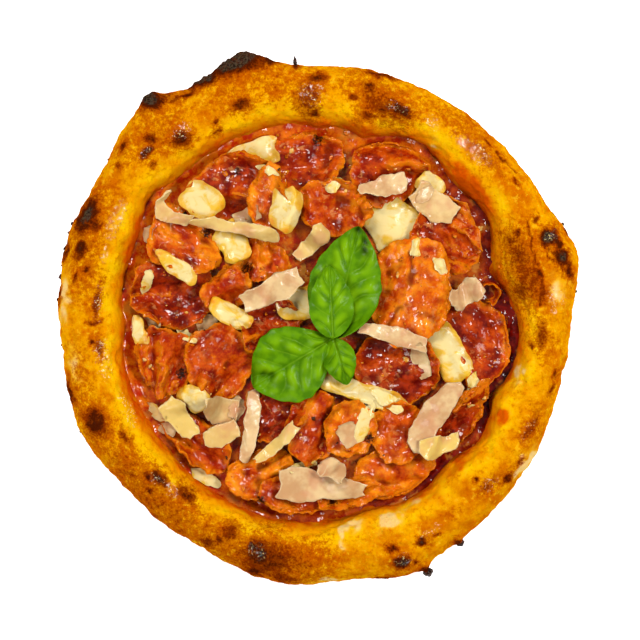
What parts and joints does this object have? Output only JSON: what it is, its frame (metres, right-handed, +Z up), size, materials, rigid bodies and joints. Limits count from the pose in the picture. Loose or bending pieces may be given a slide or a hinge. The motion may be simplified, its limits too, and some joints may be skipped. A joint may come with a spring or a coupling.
{
  "type": "salami pizza",
  "caption": "Round pizza with a tall, blistered and charred rim, tomato sauce, melted mozzarella, crisped salami slices, shaved parmesan and a basil sprig.",
  "frame": {"origin": "middle of the box round the pizza, on the flat underside that it rests on", "axes": "+Z up out of the toppings, +Y towards the top of the pizza as seen from above with the basil's big leaf pointing up, +X to the right"},
  "size_m": [0.3014, 0.3082, 0.0372],
  "materials": {
    "baked_crust": "baked, golden with brown and charred spots",
    "tomato_sauce": "glossy",
    "mozzarella": "melted, satin",
    "salami": "oily, crisped",
    "parmesan": "satin, slightly clear",
    "basil": "satin leaf"
  },
  "bodies": {
    "root": {"basil_sprig": "basil", "crust": "baked_crust", "mozzarella_01": "mozzarella", "mozzarella_02": "mozzarella", "mozzarella_03": "mozzarella", "mozzarella_04": "mozzarella", "mozzarella_05": "mozzarella", "mozzarella_06": "mozzarella", "mozzarella_07": "mozzarella", "mozzarella_08": "mozzarella", "mozzarella_09": "mozzarella", "mozzarella_10": "mozzarella", "mozzarella_11": "mozzarella", "mozzarella_12": "mozzarella", "mozzarella_13": "mozzarella", "parmesan_01": "parmesan", "parmesan_02": "parmesan", "parmesan_03": "parmesan", "parmesan_04": "parmesan", "parmesan_05": "parmesan", "parmesan_06": "parmesan", "parmesan_07": "parmesan", "parmesan_08": "parmesan", "parmesan_09": "parmesan", "parmesan_10": "parmesan", "parmesan_11": "parmesan", "parmesan_12": "parmesan", "parmesan_13": "parmesan", "parmesan_14": "parmesan", "parmesan_15": "parmesan", "parmesan_16": "parmesan", "parmesan_17": "parmesan", "salami_01": "salami", "salami_02": "salami", "salami_03": "salami", "salami_04": "salami", "salami_05": "salami", "salami_06": "salami", "salami_07": "salami", "salami_08": "salami", "salami_09": "salami", "salami_10": "salami", "salami_11": "salami", "salami_12": "salami", "salami_13": "salami", "salami_14": "salami", "salami_15": "salami", "salami_16": "salami", "salami_17": "salami", "salami_18": "salami", "salami_19": "salami", "salami_20": "salami", "salami_21": "salami", "salami_22": "salami", "salami_23": "salami", "salami_24": "salami", "salami_25": "salami", "salami_26": "salami", "salami_roll": "salami", "tomato_sauce": "tomato_sauce"}
  },
  "joints": []
}
